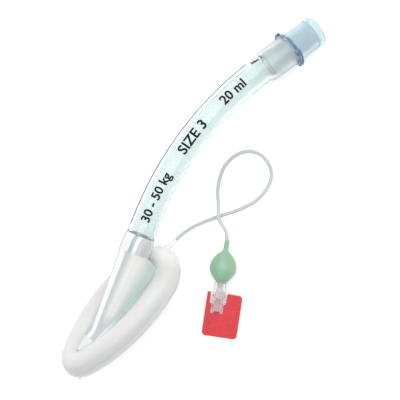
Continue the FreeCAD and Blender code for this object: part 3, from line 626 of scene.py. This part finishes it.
def bead_tree(material):
    """Geometry nodes that lay a round bead along a chain of edges."""
    tree = bpy.data.node_groups.new("weld_bead", "GeometryNodeTree")
    tree.interface.new_socket("Geometry", in_out="INPUT", socket_type="NodeSocketGeometry")
    radius = tree.interface.new_socket("Bead Radius", in_out="INPUT", socket_type="NodeSocketFloat")
    tree.interface.new_socket("Geometry", in_out="OUTPUT", socket_type="NodeSocketGeometry")
    source = tree.nodes.new("NodeGroupInput")
    target = tree.nodes.new("NodeGroupOutput")
    spine = tree.nodes.new("GeometryNodeMeshToCurve")
    section = tree.nodes.new("GeometryNodeCurvePrimitiveCircle")
    section.inputs["Resolution"].default_value = CUFF_SEAM_SIDES
    sweep = tree.nodes.new("GeometryNodeCurveToMesh")
    real = tree.nodes.new("GeometryNodeRealizeInstances")
    paint = tree.nodes.new("GeometryNodeSetMaterial")
    paint.inputs["Material"].default_value = material
    for output, socket in (
            (source.outputs["Geometry"], spine.inputs["Mesh"]),
            (source.outputs["Bead Radius"], section.inputs["Radius"]),
            (spine.outputs["Curve"], sweep.inputs["Curve"]),
            (section.outputs["Curve"], sweep.inputs["Profile Curve"]),
            (sweep.outputs["Mesh"], real.inputs["Geometry"]),
            (real.outputs["Geometry"], paint.inputs["Geometry"]),
            (paint.outputs["Geometry"], target.inputs["Geometry"])):
        tree.links.new(output, socket)
    return tree, radius.identifier


def seam_piece(material):
    """The welded seam that runs round the outside of the cuff."""
    spots = [rest_on_table(cuff_spot(step / CUFF_STEPS, CUFF_SEAM_ANGLE, CUFF_RADIUS), CUFF_SEAM_RADIUS)
             for step in range(CUFF_STEPS)]
    edges = [(step, (step + 1) % CUFF_STEPS) for step in range(CUFF_STEPS)]
    spine = in_scene("cuff_seam", mesh_from("cuff_seam", spots, (), edges))
    tree, radius = bead_tree(material)
    bead = spine.modifiers.new("bead", "NODES")
    bead.node_group = tree
    bead[radius] = CUFF_SEAM_RADIUS
    swept = applied_mesh(spine)
    bpy.data.objects.remove(spine)
    return new_object("cuff_seam", swept, material)


def balloon_piece(material):
    shape = lathe(smooth_profile(BALLOON_PROFILE, BALLOON_STEPS), BALLOON_SIDES, PILOT)
    return new_object("inflated_balloon", mesh_from("inflated_balloon", *shape), material)


def line_piece(material):
    """The inflation line, as a round tube on its route."""
    curve = bpy.data.curves.new("inflation_tubing", "CURVE")
    curve.dimensions = "3D"
    spline = curve.splines.new("NURBS")
    spline.points.add(len(LINE_ROUTE) - 1)
    for point, spot in zip(spline.points, LINE_ROUTE):
        point.co = (*spot, 1.0)
    spline.order_u = 3
    spline.use_endpoint_u = True
    spline.resolution_u = 16
    curve.bevel_depth = LINE_DIAMETER / 2
    curve.bevel_resolution = 6
    curve.use_fill_caps = True
    curve.materials.append(material)
    return in_scene("inflation_tubing", curve)


def cut_on_grid(mesh):
    """Cuts flat artwork along a grid, so that it can bend round the tube."""
    work = bmesh.new()
    work.from_mesh(mesh)
    for axis in (0, 1):
        values = [vert.co[axis] for vert in work.verts]
        place = math.floor(min(values) / PRINT_GRID) * PRINT_GRID + PRINT_GRID
        while place < max(values):
            spot, normal = Vector((0.0, 0.0, 0.0)), Vector((0.0, 0.0, 0.0))
            spot[axis], normal[axis] = place, 1.0
            artwork = work.verts[:] + work.edges[:] + work.faces[:]
            bmesh.ops.bisect_plane(work, geom=artwork, dist=PRINT_MERGE, plane_co=spot, plane_no=normal)
            place += PRINT_GRID
    bmesh.ops.remove_doubles(work, verts=work.verts, dist=PRINT_MERGE)
    bmesh.ops.recalc_face_normals(work, faces=work.faces)
    work.to_mesh(mesh)
    work.free()


def wrap_on_tube(mesh, start, side):
    """Lays artwork on the tube: X along it, Y towards its back, Z outwards."""
    for vert in mesh.vertices:
        along, across, lift = vert.co
        vert.co = tube_spot(start + along, side - across / TUBE_RADIUS, TUBE_RADIUS + PRINT_LIFT + lift)


def arch_loft(sections, arch_steps, draft=0.0):
    """Corners and faces of a closed loft in the mask frame, through round-topped arches with straight sides.

    A section is (along, half width, base, crest). With a draft the sides widen to their foot.
    """
    count = arch_steps + 3
    spots, faces = [], []
    for along, half_width, base, crest in sections:
        foot = half_width * (1.0 + draft)
        rise = min(half_width, ARCH_SHARE * (crest - base))
        arch = [(half_width * math.cos(angle), crest - rise + rise * math.sin(angle))
                for angle in spread(0.0, math.pi, arch_steps)]
        spots += [MASK @ Vector((along, across, height))
                  for across, height in [(foot, base), *arch, (-foot, base)]]
    for near in range(0, (len(sections) - 1) * count, count):
        for step in range(count):
            following = (step + 1) % count
            faces.append((near + step, near + following, near + count + following, near + count + step))
    last = (len(sections) - 1) * count
    faces.append(tuple(range(count)))
    faces.append(tuple(range(last + count - 1, last - 1, -1)))
    return spots, faces


def dish_loft(wall, end_wall):
    """The shallow dish inside the cuff: its outside, or with a wall its inside."""
    end = CUFF_LINE.reach - BOND_INSET - DISH_END_GAP - end_wall
    sections = []
    for along in spread(-end, end, DISH_SECTIONS):
        half_width = CUFF_LINE.half_width(along, BOND_INSET)
        sections.append((along, half_width - wall, DISH_FOOT - wall, DISH_CROWN - wall))
    return arch_loft(sections, DISH_ARCH_STEPS)


def ridge_loft(wall, end_wall):
    """The ridge on the dish's back, which narrows to the toe: its outside, or with a wall its inside."""
    reach = CUFF_LINE.reach - BOND_INSET - DISH_END_GAP
    high = SOCKET_RIM + back_direction(SOCKET_SLOPE) * RIDGE_WIDE
    low_along = RIDGE_TOE_GAP - reach
    low_crest, high_crest = DISH_FOOT + RIDGE_TOE_RISE, high.z - RIDGE_DROP
    sections = []
    for along in spread(low_along + end_wall, reach - end_wall - OVERLAP, RIDGE_SECTIONS):
        share = (along - low_along) / (high.x - low_along)
        half_width = RIDGE_NARROW + (RIDGE_WIDE - RIDGE_NARROW) * share
        crest = low_crest + (high_crest - low_crest) * share
        sections.append((along, half_width - wall, DISH_FOOT - wall - OVERLAP, crest - wall))
    return arch_loft(sections, RIDGE_ARCH_STEPS, RIDGE_DRAFT)


def bond_ring():
    """The ring round the cuff's centre line to which the backplate is cut."""
    spots = [cuff_spot(step / BOND_STEPS, angle, BOND_RADIUS)
             for step in range(BOND_STEPS) for angle in around(BOND_SIDES)]
    return spots, ring_faces(BOND_STEPS, BOND_SIDES)


def backplate_piece(material):
    """The clear backplate: dish, ridge and socket, hollow below and cut to the cuff."""
    inwards = MASK @ Matrix.Translation(SOCKET_RIM) @ Matrix.Rotation(math.pi - SOCKET_SLOPE, 4, "Y")
    outside = ((0.0, 0.0), (0.0, SOCKET_LIP), (SOCKET_TAPER, SOCKET_BARREL), (SOCKET_DEPTH, SOCKET_BARREL),
               (SOCKET_ROOT, SOCKET_ROOT_RADIUS), (SOCKET_ROOT, 0.0))
    inside = ((-SOCKET_TAPER, 0.0), (-SOCKET_TAPER, SOCKET_BORE), (SOCKET_DEPTH, SOCKET_BORE),
              (SOCKET_DEPTH, THROAT_RADIUS), (SOCKET_ROOT, THROAT_RADIUS), (SOCKET_ROOT, 0.0))
    mesh = carve("clear_backplate", dish_loft(0.0, 0.0), (
        ("UNION", ridge_loft(0.0, 0.0)),
        ("UNION", lathe(outside, SOCKET_SIDES, inwards)),
        ("DIFFERENCE", dish_loft(DISH_WALL, DISH_END_WALL)),
        ("DIFFERENCE", ridge_loft(DISH_WALL, DISH_END_WALL)),
        ("DIFFERENCE", lathe(inside, SOCKET_SIDES, inwards)),
        ("DIFFERENCE", bond_ring())))
    body = new_object("clear_backplate", mesh, material)
    mesh.set_sharp_from_angle(angle=BACKPLATE_CREASE)
    return body


def working_copy(name, shape):
    """A closed shape as an object at the working scale."""
    mesh = mesh_from(name, *shape)
    mesh.transform(Matrix.Scale(WORK_SCALE, 4))
    face_outwards(mesh)
    return in_scene(name, mesh)


def carve(name, shape, steps):
    """The mesh of a closed shape to which others are joined, and from which others are cut, in turn."""
    body = working_copy(name, shape)
    for operation, tool_shape in steps:
        tool = working_copy("tool", tool_shape)
        step = body.modifiers.new("step", "BOOLEAN")
        step.operation = operation
        step.solver = "EXACT"
        step.object = tool
        carved = applied_mesh(body)
        body.modifiers.clear()
        bpy.data.objects.remove(tool)
        work = bmesh.new()
        work.from_mesh(carved)
        bmesh.ops.remove_doubles(work, verts=work.verts, dist=WORK_MERGE)
        bmesh.ops.dissolve_degenerate(work, edges=work.edges, dist=WORK_MERGE)
        work.to_mesh(carved)
        work.free()
        body.data = carved
    mesh = body.data
    bpy.data.objects.remove(body)
    mesh.transform(Matrix.Scale(1 / WORK_SCALE, 4))
    return mesh


def tube_piece(material):
    """The airway tube: a thick wall along the tube's line, wider where it takes the connector's spigot."""
    mouth = TUBE_END - SPIGOT_DEPTH
    flare = SPIGOT_RADIUS + TUBE_RADIUS - BORE_RADIUS
    steps = math.ceil((mouth - FLARE_TAPER + SOCKET_DEPTH) / TUBE_STEP)
    run = spread(-SOCKET_DEPTH, mouth - FLARE_TAPER, steps)
    profile = [(along, TUBE_RADIUS) for along in run]
    profile += [(mouth, flare), (TUBE_END - EDGE_BREAK, flare), (TUBE_END, flare - EDGE_BREAK)]
    profile += [(TUBE_END, SPIGOT_RADIUS), (mouth, SPIGOT_RADIUS)]
    profile += [(along, BORE_RADIUS) for along in reversed(run)]
    spots = [tube_spot(along, side, radius) for along, radius in profile for side in around(TUBE_SIDES)]
    mesh = mesh_from("clear_tube", spots, ring_faces(len(profile), TUBE_SIDES))
    tube = new_object("clear_tube", mesh, material)
    face_outwards(mesh)
    mesh.set_sharp_from_angle(angle=TUBE_CREASE)
    return tube


def stripe_piece(material):
    """The thin dark line along the tube's back."""
    length, half = STRIPE_END - STRIPE_START, STRIPE_WIDTH / 2
    spots = [(x, y, z) for x in (0.0, length) for y in (-half, half) for z in (0.0, PRINT_DEPTH)]
    faces = [(0, 1, 3, 2), (4, 6, 7, 5), (0, 4, 5, 1), (2, 3, 7, 6), (0, 2, 6, 4), (1, 5, 7, 3)]
    mesh = mesh_from("back_stripe", spots, faces)
    cut_on_grid(mesh)
    wrap_on_tube(mesh, STRIPE_START, STRIPE_SIDE)
    return new_object("back_stripe", mesh, material, smooth=False)


def print_piece(index, words, start, height, side, material):
    """One print on the tube, as thin solid figures."""
    text = bpy.data.curves.new("print", "FONT")
    text.body = words
    text.size = height
    text.align_y = "CENTER"
    text.extrude = PRINT_DEPTH / 2
    text.offset = PRINT_BOLD
    text.resolution_u = 3
    holder = in_scene("print", text)
    mesh = applied_mesh(holder)
    bpy.data.objects.remove(holder)
    cut_on_grid(mesh)
    wrap_on_tube(mesh, start, side)
    return new_object("size_print_%d" % index, mesh, material, smooth=False)


def dress(name, material, crease=NODE_CREASE):
    """Gives a CAD node its finish, with smooth shading up to its own edges."""
    node = nodes[name]
    node.data.materials.clear()
    node.data.materials.append(material)
    node.data.shade_smooth()
    weld = node.modifiers.new("weld", "WELD")
    weld.merge_threshold = NODE_MERGE
    split = node.modifiers.new("edges", "EDGE_SPLIT")
    split.split_angle = crease


def plastic(name, colour, roughness, **more):
    return Finish(name, base_color=colour, roughness=roughness, **more)


def tube_pvc():
    """Clear PVC, matt where it is stretched over the spigot."""
    finish = plastic("clear_tube_pvc", (0.848, 0.920, 0.917), TUBE_GLOSS,
                     transmission_weight=0.88, ior=1.36)
    tail = finish.axis(finish.place(CONNECTOR), "X")
    stretched = tail.rise(SPIGOT_DEPTH + FLARE_TAPER, SPIGOT_DEPTH)
    finish.set("Roughness", finish.level(stretched, TUBE_GLOSS, FLARE_MATT))
    return finish.material


def balloon_film():
    finish = plastic("green_balloon_film", (0.31, 0.60, 0.41), 0.42)
    cloud = finish.noise(finish.place(PILOT), BALLOON_GRAIN)
    finish.set("Base Color", finish.ramp(cloud, BALLOON_SHADES))
    finish.bump(cloud, BALLOON_BUMP)
    return finish.material


def tag_plastic():
    finish = plastic("red_tag_plastic", (0.80, 0.04, 0.06), 0.38)
    grain = finish.noise(finish.place(PILOT), TAG_GRAIN)
    finish.set("Base Color", finish.ramp(grain, TAG_SHADES))
    finish.bump(grain, TAG_BUMP)
    return finish.material


def line_pvc():
    finish = plastic("clear_line_pvc", (0.56, 0.61, 0.60), 0.18, transmission_weight=0.30)
    cloud = finish.noise(finish.place(), LINE_GRAIN)
    finish.set("Roughness", finish.level(cloud, *LINE_GLOSS))
    return finish.material


def cuff_film():
    """Milky film with painted light and shade: paler to the heel and the far side, painted shade on the far
    limb and the underside, painted light on the roll's upper side and inside the heel.
    """
    finish = plastic("milky_cuff_film", (0.56, 0.57, 0.57), 0.34,
                     subsurface_weight=0.25, subsurface_scale=0.002)
    place = finish.place(MASK)
    along, across, height = (finish.axis(place, letter) for letter in "XYZ")
    cloud = finish.noise(place, CUFF_GRAIN)
    # Painted shade on the far limb.
    painted_shade_far_limb = (across.rise(*PAINTED_SHADE_FAR_LIMB_SIDE_EDGE) * along.rise(*PAINTED_SHADE_FAR_LIMB_TOE_EDGE)
                * along.rise(*PAINTED_SHADE_FAR_LIMB_HEEL_EDGE))
    # Painted light inside the heel.
    painted_light_inside_heel = (along.rise(*PAINTED_LIGHT_INSIDE_HEEL_HEEL_EDGE) * along.rise(*PAINTED_LIGHT_INSIDE_HEEL_TOE_EDGE)
                   * abs(across).rise(*PAINTED_LIGHT_INSIDE_HEEL_SIDE_EDGE))
    # Painted light on the upper side of the roll.
    top = height.rise(*PAINTED_LIGHT_CUFF_TOP_EDGE) * along.rise(*PAINTED_LIGHT_CUFF_TOP_HEEL_EDGE)
    # Painted light: the film is paler towards the heel and the far side, as light falls there.
    colour = finish.ramp(along * CUFF_PAINTED_LIGHT_ALONG + across * CUFF_PAINTED_LIGHT_ACROSS + 0.5, CUFF_PAINTED_LIGHT_SHADES)
    colour = finish.patch(colour, painted_shade_far_limb, PAINTED_SHADE_FAR_LIMB)
    colour = finish.patch(colour, top, PAINTED_LIGHT_CUFF_TOP)
    # Painted shade on the underside.
    colour = finish.patch(colour, height.rise(*PAINTED_SHADE_CUFF_UNDERSIDE_EDGE), PAINTED_SHADE_CUFF_UNDERSIDE)
    finish.set("Base Color", finish.patch(colour, painted_light_inside_heel, PAINTED_LIGHT_INSIDE_HEEL))
    finish.set("Roughness", finish.level(cloud, *CUFF_GLOSS))
    finish.bump(cloud, CUFF_BUMP)
    return finish.material


def backplate_pvc():
    """Clear PVC with painted light and shade on its ridge, which lie on rays of a cone, and with the tube's
    wall painted as seen through its socket.
    """
    finish = plastic("clear_backplate_pvc", (0.7, 0.7, 0.7), 0.12, transmission_weight=0.30, ior=1.42)
    place = finish.place(MASK)
    across, along, height = (finish.axis(place, letter) for letter in "YXZ")
    ray = across / (along * RAY_SPREAD + RAY_MIDDLE)
    up_socket = ((along - SOCKET_RIM.x) * math.cos(SOCKET_SLOPE)
                 + (height - SOCKET_RIM.z) * math.sin(SOCKET_SLOPE) + SOCKET_DEPTH)
    at_toe = along.rise(*TOE_EDGE)
    # Painted shade on the far flank.
    painted_shade_far_flank = across.rise(*PAINTED_FAR_FLANK_SHADE_SIDE_EDGE) * ray.rise(*PAINTED_FAR_FLANK_SHADE_RAY_EDGE) * (1 - at_toe)
    # Painted light and shade on the ridge, and the tube's wall painted as seen through the socket.
    colour = finish.patch(finish.ramp(abs(ray), RIDGE_PAINTED_LIGHT_AND_SHADE, last=RAY_SPAN),
                          up_socket.rise(-PAINTED_VIEW_FADE / 2, PAINTED_VIEW_FADE / 2),
                          finish.ramp(abs(across) * (1 / SOCKET_BARREL), SOCKET_PAINTED_TUBE_REFRACTION))
    # Painted shade off the crest near the toe.
    colour = finish.patch(colour, at_toe * abs(across).rise(*CREST_EDGE), PAINTED_TOE_SHADE)
    colour = finish.patch(colour, at_toe * abs(ray).rise(*DISH_RAY_EDGE), PALE_TOE)
    colour = finish.patch(colour, painted_shade_far_flank, PAINTED_FAR_FLANK_SHADE)
    finish.set("Base Color", finish.patch(colour, along.rise(*RIDGE_END_EDGE), PALE_TOE))
    return finish.material


def connector_plastic():
    """Clear bluish plastic, bluest at the flange's edge, and near white at the spigot: painted light against
    the shade it lies in inside the tube.
    """
    finish = plastic("clear_blue_connector", (0.89, 0.945, 0.975), 0.06,
                     transmission_weight=0.72, ior=1.36)
    place = finish.place(CONNECTOR)
    along, side, up = (finish.axis(place, letter) for letter in "XYZ")
    rim_start, rim_full = FLANGE_RIM_EDGE
    at_rim = (side * side + up * up).rise(rim_start ** 2, rim_full ** 2)
    # Tint along the connector, with painted light on the spigot.
    colour = finish.ramp(along, CONNECTOR_TINT_AND_PAINTED_LIGHT, -CONNECTOR_SPAN / 2, CONNECTOR_SPAN / 2)
    finish.set("Base Color", finish.patch(colour, at_rim, FLANGE_RIM))
    return finish.material


# The CAD's own nodes.
valve_plastic = plastic("clear_valve_plastic", (0.98, 0.955, 0.98), 0.08,
                        transmission_weight=0.82, ior=1.36)
plunger_plastic = plastic("white_plunger_plastic", (0.85, 0.83, 0.88), 0.35)
seal_rubber = plastic("pale_seal_rubber", (0.75, 0.74, 0.76), 0.6)
spring_steel = plastic("spring_steel", (0.62, 0.62, 0.64), 0.25, metallic=1.0)
dress("tube_connector", connector_plastic())
dress("valve_base", valve_plastic.material)
dress("valve_body", valve_plastic.material)
dress("valve_plunger", plunger_plastic.material)
dress("valve_seal", seal_rubber.material)
dress("valve_spring", spring_steel.material, SPRING_CREASE)
dress("vent_tag", tag_plastic())

# Finished pieces.
seam_weld = plastic("cuff_weld", (0.60, 0.60, 0.60), 0.3)
print_ink = plastic("black_print_ink", (0.008, 0.011, 0.013), 0.6, specular_ior_level=0.1)
tube = tube_piece(tube_pvc())
backplate = backplate_piece(backplate_pvc())
cuff = cuff_piece(cuff_film())
seam = seam_piece(seam_weld.material)
balloon = balloon_piece(balloon_film())
tubing = line_piece(line_pvc())
stripe = stripe_piece(print_ink.material)
prints = [print_piece(index, *words, print_ink.material) for index, words in enumerate(PRINTS, 1)]

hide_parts("airway_tube")
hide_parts("mask_backplate")
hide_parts("mask_cuff")
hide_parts("pilot_balloon")
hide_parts("inflation_line")
for piece in (tube, backplate, cuff, seam, balloon, tubing, stripe, *prints):
    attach(piece, "airway")


def add_table():
    paint = plastic("white_table", TABLE_COLOUR, 0.9, emission_color=WHITE, emission_strength=TABLE_GLOW)
    spots = [(-TABLE_REACH, -TABLE_REACH, 0.0), (TABLE_REACH, -TABLE_REACH, 0.0),
             (TABLE_REACH, TABLE_REACH, 0.0), (-TABLE_REACH, TABLE_REACH, 0.0)]
    table = new_object("table", mesh_from("table", spots, [(0, 1, 2, 3)]), paint.material, smooth=False)


def add_studio():
    """Even white light all round, and one large soft lamp above."""
    studio = bpy.data.worlds.new("studio")
    studio.use_nodes = True
    backdrop = studio.node_tree.nodes["Background"]
    backdrop.inputs["Color"].default_value = (*WHITE, 1.0)
    backdrop.inputs["Strength"].default_value = STUDIO_STRENGTH
    bpy.context.scene.world = studio
    lamp = bpy.data.lights.new("key", "AREA")
    lamp.shape = "DISK"
    lamp.size = LAMP_SIZE
    lamp.energy = LAMP_POWER
    aim = Vector(LAMP_SPOT).to_track_quat("Z", "Y").to_matrix().to_4x4()
    in_scene("key", lamp).matrix_world = Matrix.Translation(LAMP_SPOT) @ aim


def add_camera():
    optics = bpy.data.cameras.new("camera")
    optics.lens = CAMERA_LENS
    optics.sensor_width = SENSOR_WIDTH
    camera = in_scene("camera", optics)
    camera.location = CAMERA_SPOT
    camera.rotation_euler = CAMERA_TURN
    bpy.context.scene.camera = camera


add_table()
add_studio()
add_camera()
bpy.context.scene.view_settings.view_transform = "Standard"
